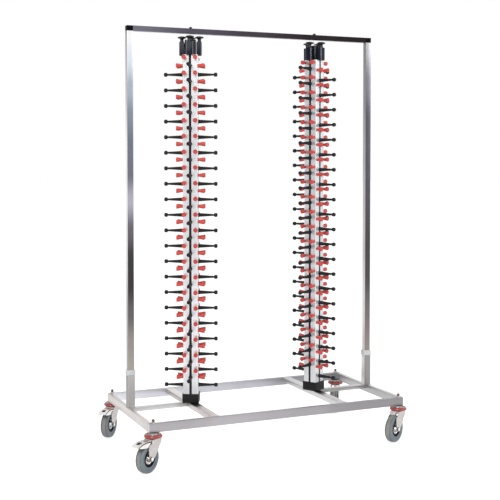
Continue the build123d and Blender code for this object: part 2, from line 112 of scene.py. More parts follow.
# Painted reflection: colours along the top bar, in even steps from its left end, darker towards its right
# end.
BAR_PAINTED_REFLECTION = (
    (0.190, 0.190, 0.230), (0.105, 0.100, 0.124), (0.064, 0.055, 0.066), (0.030, 0.023, 0.027),
    (0.022, 0.017, 0.018),
)
# Axis along each tube of the base, then its painted light as grey levels from low end to high end, in even
# steps: on its faces to the sides, to the front and rear, and upwards.
FRAME_PAINTED_LIGHT = {
    "front_rail": (X, (0.72, 0.72), (0.43, 0.42, 0.42, 0.37, 0.30, 0.28), (0.42, 0.42)),
    "rear_rail": (X, (0.72, 0.72), (0.78, 0.70, 0.58, 0.52, 0.36, 0.34), (0.50, 0.50)),
    "left_end_rail": (Y, (0.66, 0.70, 0.72, 0.60), (0.43, 0.43), (0.80, 0.74, 0.64, 0.56)),
    "right_end_rail": (Y, (0.56, 0.50, 0.56, 0.60), (0.43, 0.43), (0.66, 0.84, 0.84, 0.66)),
    # Painted reflection: the very dark steps on each cross rail's top are the black column foot mirrored in
    # the steel.
    "left_cross_rail": (
        Y, (0.66, 0.74, 0.50, 0.60), (0.43, 0.43),
        (0.74, 0.73, 0.72, 0.72, 0.70, 0.10, 0.01, 0.45, 0.76, 0.78, 0.78, 0.78, 0.78, 0.78, 0.78),
    ),
    "right_cross_rail": (
        Y, (0.68, 0.70, 0.64, 0.66), (0.43, 0.43),
        (0.70, 0.70, 0.72, 0.72, 0.70, 0.14, 0.01, 0.45, 0.72, 0.72, 0.72, 0.70, 0.68, 0.66, 0.66),
    ),
    "left_mid_bar": (X, (0.62, 0.62), (0.60, 0.60, 0.62, 0.36), (0.74, 0.74)),
    "right_mid_bar": (X, (0.62, 0.62), (0.35, 0.43, 0.50, 0.40), (0.66, 0.70)),
}
# Painted reflection tints of the tubes that differ from the plain steel: pinkish, bluish or creamy.
FRAME_REFLECTION_CASTS = {
    "front_rail": (1.015, 0.985, 1.03),
    "rear_rail": (0.98, 0.995, 1.06),
    "left_cross_rail": (1.035, 0.995, 0.96),
    "left_end_rail": (1.035, 0.995, 0.96),
}


# ---------------------------------------------------------------- sizes and colours
def number(name, default, description, **kind):
    return FloatProperty(name=name, description=description, default=default, **kind)


def length(name, default, description):
    return number(name, default, description, min=0.0, unit="LENGTH")


def angle(name, degrees, description):
    return number(name, math.radians(degrees), description, unit="ROTATION")


def flats(default, description):
    return IntProperty(name="Sides", description=description, default=default, min=6, max=24)


def colour(name, default, description):
    return FloatVectorProperty(
        name=name, description=description, default=default, size=3, min=0.0, max=1.0, subtype="COLOR"
    )


def direction(name, degrees):
    return angle(name, degrees, "Direction in which this wheel trails")


class CartTubes(bpy.types.PropertyGroup):
    rounding: length("Edge rounding", 0.0024, "Outside radius along the edges of every tube")
    end_bevel: length("End bevel", 0.0004, "Broken edge round the end of every tube")
    weld: length("Weld bead", 0.0009, "How far a weld bead stands proud of the tube")
    steel: colour("Frame steel", (1.0, 0.975, 0.99), "Tint of the satin steel on the base frame")
    socket_steel: colour("Socket steel", (0.42, 0.41, 0.40), "Satin steel of the post sockets")
    post_steel: colour("Post steel", (1.0, 0.97, 0.94), "Tint of the brushed steel on the posts")


class CartHoop(bpy.types.PropertyGroup):
    collar_rounding: length("Collar rounding", 0.0035, "Radius on every edge of the nylon collars")
    joint_rounding: length("Joint rounding", 0.0022, "Radius on the outer edges of the corner joints")
    lock_hole: length("Lock hole", 0.006, "Diameter of the hole near the top of each socket")
    lock_drop: length("Lock hole drop", 0.009, "Distance of the lock hole under the socket's top")
    nylon: colour("Nylon", (0.76, 0.765, 0.79), "Milky collars between sockets and posts")
    joint_black: colour("Joint black", (0.005, 0.005, 0.010), "Corner joints of the hoop")


class CartColumns(bpy.types.PropertyGroup):
    corner_radius: length("Corner radius", 0.004, "Rounding on the corners of the extrusion")
    flute_depth: length("Flute depth", 0.0006, "Depth of the fine grooves in each face")
    flute_width: length("Flute width", 0.0024, "Width of the fine grooves in each face")
    left_turn: angle("Left turn", 25.7, "How far the left column is turned clockwise")
    right_turn: angle("Right turn", 61.3, "How far the right column is turned clockwise")
    aluminium: colour("Aluminium", (0.74, 0.745, 0.765), "Anodised extrusion of the columns")
    foot_rounding: length("Foot rounding", 0.003, "Radius on the upright edges of the black foot")
    foot_black: colour("Foot black", (0.011, 0.011, 0.012), "Moulded foot of each column")


class CartArms(bpy.types.PropertyGroup):
    root_diameter: length("Arm root", 0.0210, "Diameter of the arm where it leaves the column")
    neck_diameter: length("Arm neck", 0.0092, "Diameter of the arm behind its ball")
    ball_diameter: length("Ball", 0.0197, "Diameter of the barrel-shaped ball at the arm's end")
    reach: length("Arm length", 0.093, "Length of an arm from the column's face to its tip")
    sides: flats(8, "Flats round an arm")
    black: colour("Arm black", (0.013, 0.013, 0.015), "Moulded arms and their rails")


class CartCups(bpy.types.PropertyGroup):
    root_diameter: length("Cup root", 0.0128, "Diameter of a rubber cup at the column")
    tip_diameter: length("Cup tip", 0.0218, "Diameter of a rubber cup at its mouth")
    reach: length("Cup length", 0.032, "Length of a rubber cup")
    sides: flats(10, "Flats round a cup")
    red: colour("Cup red", (0.78, 0.085, 0.07), "Soft rubber of the cups")


class CartKnobs(bpy.types.PropertyGroup):
    knob_diameter: length("Knob", 0.0420, "Diameter of the mushroom knobs")
    knob_distance: length("Knob distance", 0.042, "Distance of a knob's axis from the column's axis")
    gloss_black: colour("Gloss black", (0.008, 0.008, 0.011), "Knobs and centre caps")
    housing_black: colour("Housing black", (0.010, 0.013, 0.026), "Blue-black housings round the screws")


class CartCasters(bpy.types.PropertyGroup):
    front_left_turn: direction("Front left turn", 213.7)
    front_right_turn: direction("Front right turn", 209.7)
    rear_left_turn: direction("Rear left turn", 229.9)
    rear_right_turn: direction("Rear right turn", 236.0)
    trail: length("Trail", 0.043, "Distance of the axle behind the swivel")
    wheel_diameter: length("Wheel", 0.130, "Diameter over the tread")
    rim_diameter: length("Rim", 0.0740, "Outside of the black ring between tyre and dish")
    dish_diameter: length("Dish", 0.0545, "Diameter of the silver dish in the wheel")
    tyre_grey: colour("Tyre grey", (0.215, 0.260, 0.290), "Blue-grey non-marking rubber")
    tread_grey: colour("Tread grey", (0.33, 0.33, 0.305), "Worn beige-grey rubber of the tread")
    zinc: colour("Zinc", (0.56, 0.54, 0.53), "Zinc plate on forks, stems and pedals")
    ring_red: colour("Ring red", (0.40, 0.045, 0.040), "Bumper rings over the forks")


class CartStage(bpy.types.PropertyGroup):
    floor: colour("Floor", (0.80, 0.80, 0.80), "Plain pale floor")
    floor_glow: number("Floor glow", 0.62, "How much the floor shines where it is seen", min=0.0)
    key_power: number("Key light", 150.0, "Power of the large light", unit="POWER")
    fill_power: number("Fill light", 50.0, "Power of the side light", unit="POWER")
    ambient: number("Ambient", 0.55, "Level of the light from all round", min=0.0)
    camera_place: FloatVectorProperty(
        name="Camera", description="Where the camera stands", default=(-2.0732, -4.7044, 1.3924),
        subtype="TRANSLATION",
    )
    camera_yaw: angle("Yaw", 23.562, "Turn of the view to the right of straight back")
    camera_pitch: angle("Pitch", 2.021, "Tilt of the view below level")
    focal_px: number("Focal length", 1037.6, "Focal length in pixels of a 500 px frame")
    shift: number("Shift", -0.11, "Vertical lens shift in frame widths")


GROUPS = {
    "cart_tubes": CartTubes,
    "cart_hoop": CartHoop,
    "cart_columns": CartColumns,
    "cart_arms": CartArms,
    "cart_cups": CartCups,
    "cart_knobs": CartKnobs,
    "cart_casters": CartCasters,
    "cart_stage": CartStage,
}


# ---------------------------------------------------------------- modelling helpers
def clear_selection():
    if bpy.context.object and bpy.context.object.mode != "OBJECT":
        bpy.ops.object.mode_set(mode="OBJECT")
    bpy.ops.object.select_all(action="DESELECT")


def choose(piece):
    clear_selection()
    piece.select_set(True)
    bpy.context.view_layer.objects.active = piece


def settle(piece):
    """Puts a piece's place into its mesh and leaves the object at the origin."""
    choose(piece)
    bpy.ops.object.transform_apply(location=True, rotation=True, scale=True)
    return piece


def place(piece, matrix):
    piece.matrix_world = matrix
    bpy.context.view_layer.update()
    return settle(piece)


def name_new(name):
    """Names the primitive that was just added and settles it."""
    piece = bpy.context.object
    piece.name = name
    return settle(piece)


def edit_all(piece):
    """Opens a piece's mesh with all of it selected."""
    choose(piece)
    bpy.ops.object.mode_set(mode="EDIT")
    bpy.ops.mesh.select_all(action="SELECT")


def face_outwards(piece):
    """Joins points in one place, turns all faces outwards and leaves edit mode."""
    edit_all(piece)
    bpy.ops.mesh.remove_doubles(threshold=SAME)
    bpy.ops.mesh.normals_make_consistent(inside=False)
    bpy.ops.object.mode_set(mode="OBJECT")
    return piece


def add_block(name, low, high):
    clear_selection()
    low, high = Vector(low), Vector(high)
    bpy.ops.mesh.primitive_cube_add(size=1.0, location=(low + high) / 2)
    bpy.context.object.scale = high - low
    return name_new(name)


def bevel(piece, width, segments, test):
    """Rounds the edges whose two ends pass a test."""
    choose(piece)
    bpy.ops.object.mode_set(mode="EDIT")
    bpy.ops.mesh.select_mode(type="EDGE")
    bpy.ops.mesh.select_all(action="DESELECT")
    shape = bmesh.from_edit_mesh(piece.data)
    for edge in shape.edges:
        if test(edge.verts[0].co, edge.verts[1].co):
            edge.select_set(True)
    bmesh.update_edit_mesh(piece.data)
    bpy.ops.mesh.bevel(offset=width, segments=segments, affect="EDGES", clamp_overlap=True)
    bpy.ops.object.mode_set(mode="OBJECT")
    return piece


def along(axis):
    """Test for edges that run along one axis."""
    others = [i for i in range(3) if i != axis]
    return lambda a, b: all(abs(a[i] - b[i]) < SAME for i in others)


def at_level(axis, level):
    """Test for edges that lie in the plane at one level of an axis."""
    return lambda a, b: abs(a[axis] - level) < SAME and abs(b[axis] - level) < SAME


def every_edge(a, b):
    return True


def add_tube(name, node, axis):
    """A tube of the base or the hoop in the place of its CAD node, with soft edges and broken ends."""
    tubes = bpy.context.scene.cart_tubes
    low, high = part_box(node)
    piece = add_block(name, low, high)
    bevel(piece, tubes.rounding, 3, along(axis))
    for level in (low[axis], high[axis]):
        bevel(piece, tubes.end_bevel, 1, at_level(axis, level))
    return piece


def add_bead(low, high, axis, level):
    """A weld bead round a tube's section at one of its ends."""
    proud = bpy.context.scene.cart_tubes.weld
    low, high = Vector(low), Vector(high)
    for i in range(3):
        low[i], high[i] = low[i] - proud, high[i] + proud
    low[axis], high[axis] = level - 1.6 * proud, level + 1.6 * proud
    return bevel(add_block("bead", low, high), 0.9 * proud, 2, every_edge)


def carry_circle(name, stations, sides, fill):
    """Carries a circle about Z from one (radius, height) in mm to the next."""
    clear_selection()
    radius, height = stations[0]
    bpy.ops.mesh.primitive_circle_add(
        vertices=sides, radius=radius * MM, fill_type=fill, location=(0, 0, height * MM)
    )
    piece = name_new(name)
    edit_all(piece)
    for next_radius, next_height in stations[1:]:
        rise = (next_height - height) * MM
        bpy.ops.mesh.extrude_region_move(TRANSFORM_OT_translate={"value": (0, 0, rise)})
        grow = next_radius / radius
        bpy.ops.transform.resize(value=(grow, grow, 1), center_override=(0, 0, next_height * MM))
        radius, height = next_radius, next_height
    return face_outwards(piece)


def add_turned(name, stations, sides):
    """A round solid about Z: a disc carried from one (radius, height) in mm to the next."""
    return carry_circle(name, stations, sides, "NGON")


def add_ring(name, stations, sides):
    """A round ring about Z whose section is a closed loop of (radius, height) in mm."""
    return carry_circle(name, [*stations, stations[0]], sides, "NOTHING")


def add_plate(name, outline, thickness):
    """A flat solid: one point is carried round an outline in mm, filled and carried up Z."""
    clear_selection()
    here = Vector((*outline[0], 0.0)) * MM
    bpy.ops.mesh.primitive_plane_add(size=MM, location=here)
    piece = name_new(name)
    edit_all(piece)
    bpy.ops.mesh.select_mode(type="VERT")
    bpy.ops.mesh.merge(type="CENTER")
    for point in outline[1:] + outline[:1]:
        there = Vector((*point, 0.0)) * MM
        bpy.ops.mesh.extrude_vertices_move(TRANSFORM_OT_translate={"value": there - here})
        here = there
    bpy.ops.mesh.select_all(action="SELECT")
    bpy.ops.mesh.remove_doubles(threshold=SAME)
    bpy.ops.mesh.edge_face_add()
    bpy.ops.mesh.extrude_region_move(TRANSFORM_OT_translate={"value": (0, 0, thickness * MM)})
    return face_outwards(piece)


def combine(piece, tool, operation):
    """Cuts a piece with another, or keeps what both share, and removes the tool."""
    choose(piece)
    change = piece.modifiers.new("cut", "BOOLEAN")
    change.operation = operation
    change.solver = "EXACT"
    change.object = tool
    bpy.ops.object.modifier_apply(modifier=change.name)
    bpy.data.objects.remove(tool)
    return piece


def drill(piece, diameter, low, high, matrix=Matrix()):
    """Drills a round hole about Z between two heights in mm, in the place a matrix gives."""
    bit = add_turned("drill", [(diameter / 2, low), (diameter / 2, high)], DRILL_SIDES)
    return combine(piece, place(bit, matrix), "DIFFERENCE")


def join(pieces, name):
    clear_selection()
    for piece in pieces:
        piece.select_set(True)
    bpy.context.view_layer.objects.active = pieces[0]
    if len(pieces) > 1:
        bpy.ops.object.join()
    joined = bpy.context.object
    joined.name = name
    joined.data.name = name
    return joined


def gather(template, places, name):
    """One piece made of copies of a template, each copy with its own mesh."""
    copies = []
    for matrix in places:
        copy = template.copy()
        copy.data = template.data.copy()
        bpy.context.scene.collection.objects.link(copy)
        copy.matrix_world = matrix
        copies.append(copy)
    bpy.context.view_layer.update()
    return settle(join(copies, name))


def discard(*templates):
    for template in templates:
        bpy.data.objects.remove(template)


def paint(piece, finish):
    piece.data.materials.clear()
    piece.data.materials.append(finish)
    return piece


def dress(piece, body, node, finish=None, crease=35.0):
    """Shades a piece, gives it a finish unless it has its own, ties it to its body and hides its CAD node."""
    choose(piece)
    bpy.ops.object.shade_smooth_by_angle(angle=math.radians(crease))
    if finish:
        paint(piece, finish)
    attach(piece, body)
    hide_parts(node)


def column_matrix(side, quarter=0):
    """A column's own frame, turned so that -Y looks out of one face. Z starts at the frame's top."""
    low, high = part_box(f"{side}_cross_rail")
    turn = getattr(bpy.context.scene.cart_columns, f"{side}_turn")
    at_foot = Matrix.Translation(((low.x + high.x) / 2, 0, FRAME_TOP))
    return at_foot @ Matrix.Rotation(quarter * math.pi / 2 - turn, 4, "Z")


def face_matrix(side, quarter, across, out, height):
    """Place on a column's face: Z runs outwards. In mm."""
    on_face = Matrix.Translation((across * MM, -out * MM, height * MM))
    return column_matrix(side, quarter) @ on_face @ LAID_OVER


def caster_matrix(corner):
    """A caster's own frame: X along the trail, Y along the axle, Z up from the floor."""
    low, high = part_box("front_rail" if "front" in corner else "rear_rail")
    x = low.x + STEM_INSET if "left" in corner else high.x - STEM_INSET
    turn = getattr(bpy.context.scene.cart_casters, f"{corner}_turn")
    return Matrix.Translation((x, (low.y + high.y) / 2, 0)) @ Matrix.Rotation(turn, 4, "Z")


def at_screw():
    """Place of the front screw's axis in a column's own frame."""
    return Matrix.Translation((0, -bpy.context.scene.cart_knobs.knob_distance, 0))


def nearest_axis(face):
    """Number of the axis that a face's normal is nearest to."""
    return max(range(3), key=lambda axis: abs(face.normal[axis]))


def finish_faces(piece, finishes, choice):
    """Gives each face one of the finishes, by the number that a choice makes of the face."""
    piece.data.materials.clear()
    for finish in finishes:
        piece.data.materials.append(finish)
    for face in piece.data.polygons:
        face.material_index = choice(face)
    return piece


# ---------------------------------------------------------------- finishes
def feed(tree, node, **sockets):
    """Gives a node's named sockets their values, or links where a value is another node's output."""
    for name, value in sockets.items():
        socket = node.inputs[name.replace("_", " ")]
        if isinstance(value, bpy.types.NodeSocket):
            tree.links.new(value, socket)
        else:
            socket.default_value = value
    return node


def add_node(tree, kind, **sockets):
    return feed(tree, tree.nodes.new(kind), **sockets)


def base_shader(name, tint, metallic, roughness, **values):
    """A new material with its constants on the shader's own sockets, or an earlier one without its tree."""
    finish = bpy.data.materials.get(name)
    if finish:
        return finish, None, None
    finish = bpy.data.materials.new(name)
    finish.use_nodes = True
    finish.diffuse_color = (*tint, 1.0)
    tree = finish.node_tree
    shader = tree.nodes["Principled BSDF"]
    feed(tree, shader, Base_Color=(*tint, 1.0), Metallic=metallic, Roughness=roughness, **values)
    return finish, tree, shader


def object_place(tree):
    return add_node(tree, "ShaderNodeTexCoord").outputs["Object"]


def noise(tree, scale, detail=4.0, roughness=0.6, stretch=PLAIN):
    """Noise in object space, stretched along one axis for a grain."""
    mapping = add_node(tree, "ShaderNodeMapping", Vector=object_place(tree), Scale=stretch)
    texture = add_node(tree, "ShaderNodeTexNoise", Vector=mapping.outputs["Vector"])
    feed(tree, texture, Scale=scale, Detail=detail, Roughness=roughness)
    return texture.outputs["Fac"]


def spread(tree, factor, low, high, out_low, out_high):
    """Carries a factor from the range low to high over to another range."""
    ranged = add_node(
        tree, "ShaderNodeMapRange", Value=factor, From_Min=low, From_Max=high, To_Min=out_low, To_Max=out_high
    )
    return ranged.outputs["Result"]


def colour_stops(tree, factor, stops, blend="LINEAR"):
    """Colours along a factor, each at its own place from 0 to 1."""
    ramp = add_node(tree, "ShaderNodeValToRGB", Fac=factor)
    ramp.color_ramp.interpolation = blend
    steps = ramp.color_ramp.elements
    while len(steps) < len(stops):
        steps.new(0.5)
    for index, (position, tint) in enumerate(stops):
        steps[index].position = position
        steps[index].color = (*tint, 1.0)
    return ramp.outputs["Color"]


def blend_colours(tree, factor, dark, light, low=0.3, high=0.7):
    return colour_stops(tree, factor, ((low, dark), (high, light)))


def multiply(tree, first, second):
    mixer = tree.nodes.new("ShaderNodeMix")
    mixer.data_type = "RGBA"
    mixer.blend_type = "MULTIPLY"
    feed(tree, mixer, Factor=1.0, A=first, B=second)
    return mixer.outputs["Result"]


def link_surface(tree, shader, colours, gloss, roughest, relief, depth, strength):
    """Links colours, a roughness that is uneven within its two ends, and a relief of a depth in metres."""
    bump = add_node(tree, "ShaderNodeBump", Height=relief, Distance=depth, Strength=strength)
    roughness = spread(tree, gloss, 0.3, 0.7, *roughest)
    feed(tree, shader, Base_Color=colours, Roughness=roughness, Normal=bump.outputs["Normal"])


def shade(tint, amount):
    return tuple(min(1.0, max(0.0, channel * amount)) for channel in tint)


def tinted(greys, casts):
    """Colours in even steps: each grey with the cast at its place, the casts in even steps as well."""
    tints = []
    for index, grey in enumerate(greys):
        place_along = index / (len(greys) - 1) * (len(casts) - 1)
        first = min(int(place_along), len(casts) - 2)
        part = place_along - first
        tints.append([min(1.0, grey * (a + part * (b - a))) for a, b in zip(casts[first], casts[first + 1])])
    return tints


def painted_light_along(tree, axis, low, high, tones):
    """Painted light: even steps of colour along an axis, from low to high in metres, blended smoothly."""
    parts = add_node(tree, "ShaderNodeSeparateXYZ", Vector=object_place(tree))
    along_axis = spread(tree, parts.outputs["XYZ"[axis]], low, high, 0.0, 1.0)
    stops = [(index / (len(tones) - 1), tone) for index, tone in enumerate(tones)]
    return colour_stops(tree, along_axis, stops, "EASE")


def brushed(name, tint, roughness, axis, contrast, smudge, tones=None):
    """Metal ground along one axis: long fine grain, soft cloudy stains and a little uneven gloss, with
    painted light along an axis where it is given.
    """
    finish, tree, shader = base_shader(name, tint, 1.0, roughness, Anisotropic=0.35)
    if tree is None:
        return finish
    stretch = [GRAIN_FINE] * 3
    stretch[axis] = GRAIN_LONG
    grain = noise(tree, 3.0, 6.0, 0.7, stretch)
    clouds = noise(tree, 5.0, 3.0, 0.5)
    ground = blend_colours(tree, grain, shade(tint, 1 - contrast), shade(tint, 1 + contrast))
    stains = blend_colours(tree, clouds, shade(PLAIN, 1 - smudge), PLAIN, 0.35, 0.65)
    colours = multiply(tree, ground, stains)
    if tones:
        colours = multiply(tree, colours, painted_light_along(tree, *tones))
    link_surface(tree, shader, colours, grain, (roughness - 0.05, roughness + 0.08), grain, 0.00004, 0.35)
    return finish


def plated(name, tint, roughness):
    """Zinc plate: small crystals of slightly different brightness over cloudy passivation."""
    finish, tree, shader = base_shader(name, tint, 1.0, roughness)
    if tree is None:
        return finish
    crystals = add_node(tree, "ShaderNodeTexVoronoi", Vector=object_place(tree), Scale=260.0)
    clouds = noise(tree, 30.0)
    distance = crystals.outputs["Distance"]
    spangle = blend_colours(tree, distance, shade(tint, 1.08), shade(tint, 0.88), 0.1, 0.9)
    colours = multiply(tree, spangle, blend_colours(tree, clouds, (0.86, 0.85, 0.82), PLAIN, 0.35, 0.65))
    link_surface(tree, shader, colours, clouds, (roughness - 0.06, roughness + 0.1), clouds, 0.00005, 0.3)
    return finish


def moulded(name, tint, roughness, grain=0.00006, coat=0.0, scale=900.0, shine=0.5, **more):
    """Moulded plastic or rubber: fine pebble, faint cloudiness and uneven gloss."""
    finish, tree, shader = base_shader(
        name, tint, 0.0, roughness, Coat_Weight=coat, Coat_Roughness=0.06, Specular_IOR_Level=shine, **more
    )
    if tree is None:
        return finish
    pebble = noise(tree, scale, 3.0)
    clouds = noise(tree, 14.0)
    tone = blend_colours(tree, clouds, shade(tint, 0.84), shade(tint, 1.14))
    colours = multiply(tree, tone, blend_colours(tree, pebble, shade(PLAIN, 0.9), PLAIN))
    link_surface(tree, shader, colours, clouds, (roughness - 0.05, roughness + 0.07), pebble, grain, 0.4)
    return finish


def frame_steels_with_painted_light(node):
    """Satin steel ground along a tube of the base, in lit and shaded copies with painted light and reflection
    for its faces along X, Y and Z.
    """
    axis, *levels = FRAME_PAINTED_LIGHT[node]
    low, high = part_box(node)
    casts = [FRAME_REFLECTION_CASTS.get(node, PLAIN)] * 2
    steel = bpy.context.scene.cart_tubes.steel
    return [
        brushed(
            f"{node}_{face}_steel", steel, 0.38, axis, contrast=0.08, smudge=0.10,
            tones=(axis, low[axis], high[axis], tinted(greys, casts)),
        )
        for face, greys in zip(("side", "front", "top"), levels)
    ]


def zinc():
    return plated("zinc_plate", bpy.context.scene.cart_casters.zinc, 0.34)


def bright_zinc():
    return plated("bright_zinc", (0.86, 0.85, 0.84), 0.26)


def dark_nut():
    return plated("dark_nut", (0.15, 0.14, 0.125), 0.2)


def gloss_plastic():
    return moulded("gloss_plastic", bpy.context.scene.cart_knobs.gloss_black, 0.14, **GLOSSY, shine=0.25)


# ---------------------------------------------------------------- base frame and hoop
class CART_OT_base_frame(bpy.types.Operator):
    """Rails, cross rails and bars of the base frame, with their weld beads"""

    bl_idname = "cart.base_frame"
    bl_label = "Base frame"

    def execute(self, context):
        for node, (axis, *_) in FRAME_PAINTED_LIGHT.items():
            low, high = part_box(node)
            piece = add_tube(f"{node}_tube", node, axis)
            if "cross" in node:
                middle = Matrix.Translation(((low.x + high.x) / 2, 0, FRAME_TOP))
                drill(piece, PIVOT_BORE, -20.0, 5.0, middle)
            if node not in ("front_rail", "rear_rail"):
                beads = [add_bead(low, high, axis, level) for level in (low[axis], high[axis])]
                piece = join([piece] + beads, f"{node}_tube")
            dress(finish_faces(piece, frame_steels_with_painted_light(node), nearest_axis), "frame", node)
        return {"FINISHED"}


class CART_OT_hoop(bpy.types.Operator):
    """Sockets, collars, posts, top bar and corner joints"""

    bl_idname = "cart.hoop"
    bl_label = "Hoop"

    def execute(self, context):
        tubes, hoop = context.scene.cart_tubes, context.scene.cart_hoop
        for side in SIDES:
            self.add_post(side, tubes)
        low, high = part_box("top_bar")
        # Painted reflection along the top bar, darker towards its right end.
        tones = (X, low.x, high.x, BAR_PAINTED_REFLECTION)
        steel = brushed("top_bar_steel", (1.0, 0.95, 0.98), 0.30, X, contrast=0.16, smudge=0.10, tones=tones)
        dress(add_tube("top_bar_tube", "top_bar", X), "frame", "top_bar", steel)
        self.add_sockets(tubes, hoop)

        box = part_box("post_collars")
        nylon = moulded("milky_nylon", hoop.nylon, 0.4, grain=0.00003, shine=0.3, Subsurface_Weight=0.25)
        piece = self.end_blocks("collar", self.end_spans(*box), box, hoop.collar_rounding, 4, "nylon_collars")
        dress(piece, "frame", "post_collars", nylon, crease=60.0)

        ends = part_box("corner_joints")
        spans = ((ends[0].x, low.x), (high.x, ends[1].x))
        black = moulded("joint_plastic", hoop.joint_black, 0.35, shine=0.04)
        piece = self.end_blocks("joint", spans, (low, high), hoop.joint_rounding, 3, "hoop_corner_joints")
        dress(piece, "frame", "corner_joints", black)
        return {"FINISHED"}

    def end_spans(self, low, high):
        """Spans along X of the two square pieces at the ends of a node's box."""
        width = high.y - low.y
        return (low.x, low.x + width), (high.x - width, high.x)

    def end_blocks(self, name, spans, box, rounding, segments, whole):
        """Rounded blocks over two spans along X, as deep and as high as a box, joined to one piece."""
        low, high = box
        blocks = [add_block(name, (near, low.y, low.z), (far, high.y, high.z)) for near, far in spans]
        return join([bevel(block, rounding, segments, every_edge) for block in blocks], whole)

    def add_post(self, side, tubes):
        """A post whose painted light and reflection colours run up from the collar to the corner joint,
        lighter or darker on its sides than on its front and rear.
        """
        low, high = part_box("post_collars")[1].z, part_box("left_post")[1].z
        side_greys, front_greys = POST_PAINTED_LIGHT[side]
        sides, fronts = (
            brushed(
                f"{side}_post_{face}_steel", tubes.post_steel, 0.32, Z, contrast=0.10, smudge=0.10,
                tones=(Z, low, high, tones),
            )
            for face, tones in (
                ("side", tinted(side_greys, [PLAIN] * 2)),
                ("front", tinted(front_greys, POST_REFLECTION_CASTS[side])),
            )
        )
        piece = add_tube(f"{side}_post_tube", f"{side}_post", Z)
        finish_faces(piece, (sides, fronts, fronts), nearest_axis)
        dress(piece, "frame", f"{side}_post")

    def add_sockets(self, tubes, hoop):
        """Both sockets with their lock holes and weld beads."""
        low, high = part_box("post_sockets")
        sockets = []
        for near, far in self.end_spans(low, high):
            ends = (near, low.y, low.z), (far, high.y, high.z)
            socket = add_block("socket", *ends)
            bevel(socket, tubes.rounding, 3, along(Z))
            bevel(socket, tubes.end_bevel, 1, at_level(Z, high.z))
            at_hole = Matrix.Translation((near, 0, high.z - hoop.lock_drop))
            drill(socket, hoop.lock_hole / MM, -4.0, 4.0, at_hole @ Matrix.Rotation(math.pi / 2, 4, "Y"))
            sockets += [socket, add_bead(*ends, Z, low.z)]
        # Painted light: the left socket is the lighter one in front, the right socket at its sides, on
        # lighter and darker copies of one steel.
        sides, fronts = (
            brushed(
                f"socket_{face}_steel", shade(tubes.socket_steel, painted_light_level), 0.38, Z, contrast=0.08,
                smudge=0.10, tones=(X, low.x, high.x, [shade(PLAIN, left), shade(PLAIN, right)]),
            )
            for face, painted_light_level, left, right in (("side", 1.6, 0.50, 1.0), ("front", 1.05, 1.0, 0.64))
        )
        piece = finish_faces(join(sockets, "post_socket_tubes"), (sides, fronts, fronts), nearest_axis)
        dress(piece, "frame", "post_sockets")


def add_dome_nut(name, across_flats, height, dome, base):
    """A hexagon with broken corners under a round dome, standing on z = 0, in mm."""
    corner = across_flats / 2 / math.cos(math.pi / 6)
    outline = [(corner * 0.96, 0), (corner, 0.6), (corner, height - 0.8), (corner * 0.93, height)]
    hexagon = add_turned("hexagon", outline, 6)
    steps = [(base, height - 0.2)]
    steps += [(base * math.cos(a), height + dome * math.sin(a)) for a in (0.25, 0.6, 0.95, 1.25, 1.48)]
    return join([hexagon, add_turned("dome", steps, 24)], name)


class CART_OT_column_pins(bpy.types.Operator):
    """The rods that hold the columns' tops, with their dome nuts on the bar"""

    bl_idname = "cart.column_pins"
    bl_label = "Column pins"

    def execute(self, context):
        bar_top = (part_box("top_bar")[1].z - FRAME_TOP) / MM
        low = (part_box("column_pins")[0].z - FRAME_TOP) / MM
        rod = add_turned("rod", [(2.4, low), (3.0, low + 0.8), (3.0, bar_top)], 20)
        section = [(3.2, bar_top), (8.6, bar_top), (8.6, bar_top + 1), (3.2, bar_top + 1)]
        washer = add_ring("washer", section, 24)
        nut = add_dome_nut("nut", 14.0, 5.0, 3.6, 6.4)
        place(nut, Matrix.Translation((0, 0, (bar_top + 0.4) * MM)))
        paint(rod, plated("bright_rod", (0.82, 0.82, 0.83), 0.12))
        paint(washer, dark_nut())
        paint(nut, plated("black_zinc", (0.030, 0.028, 0.028), 0.3))
        pin = join([rod, washer, nut], "pin")
        places = [column_matrix(side) for side in SIDES]
        dress(gather(pin, places, "column_pin_rods"), "frame", "column_pins")
        discard(pin)
        return {"FINISHED"}


# ---------------------------------------------------------------- columns
def mirrored(points):
    """The same points past a diagonal, in the other order."""
    return [(y, x) for x, y in reversed(points)]


def extrusion_outline(settings):
    """A quarter of the column's section in mm: outer faces with fine flutes, slots and T-grooves."""
    depth, half = settings.flute_depth / MM, settings.flute_width / MM / 2
    radius = settings.corner_radius / MM
    corner = COLUMN_HALF - radius
    face = [(6.0, COLUMN_HALF)]
    for middle in (14.0, 20.0, 26.0):
        flute = ((-half, 0.0), (-half / 2, depth), (half / 2, depth), (half, 0.0))
        face += [(middle + across, COLUMN_HALF - under) for across, under in flute]
    turns = [math.pi / 2 - step * math.pi / 10 for step in range(6)]
    arc = [(corner + radius * math.cos(turn), corner + radius * math.sin(turn)) for turn in turns]
    groove = [(33.0, 6.0), (33.0, 9.8), (29.4, 9.8), (29.4, 6.0), (27.0, 6.0)]
    return face + arc + mirrored(face) + groove + [(27.0, 27.0)] + mirrored(groove)


def add_square(name, half, low, high, rounding, segments, top_rounding):
    """A square block about Z with rounded upright edges and a rounded top."""
    block = add_block(name, (-half, -half, low), (half, half, high))
    bevel(block, rounding, segments, along(Z))
    return bevel(block, top_rounding, 2, at_level(Z, high))


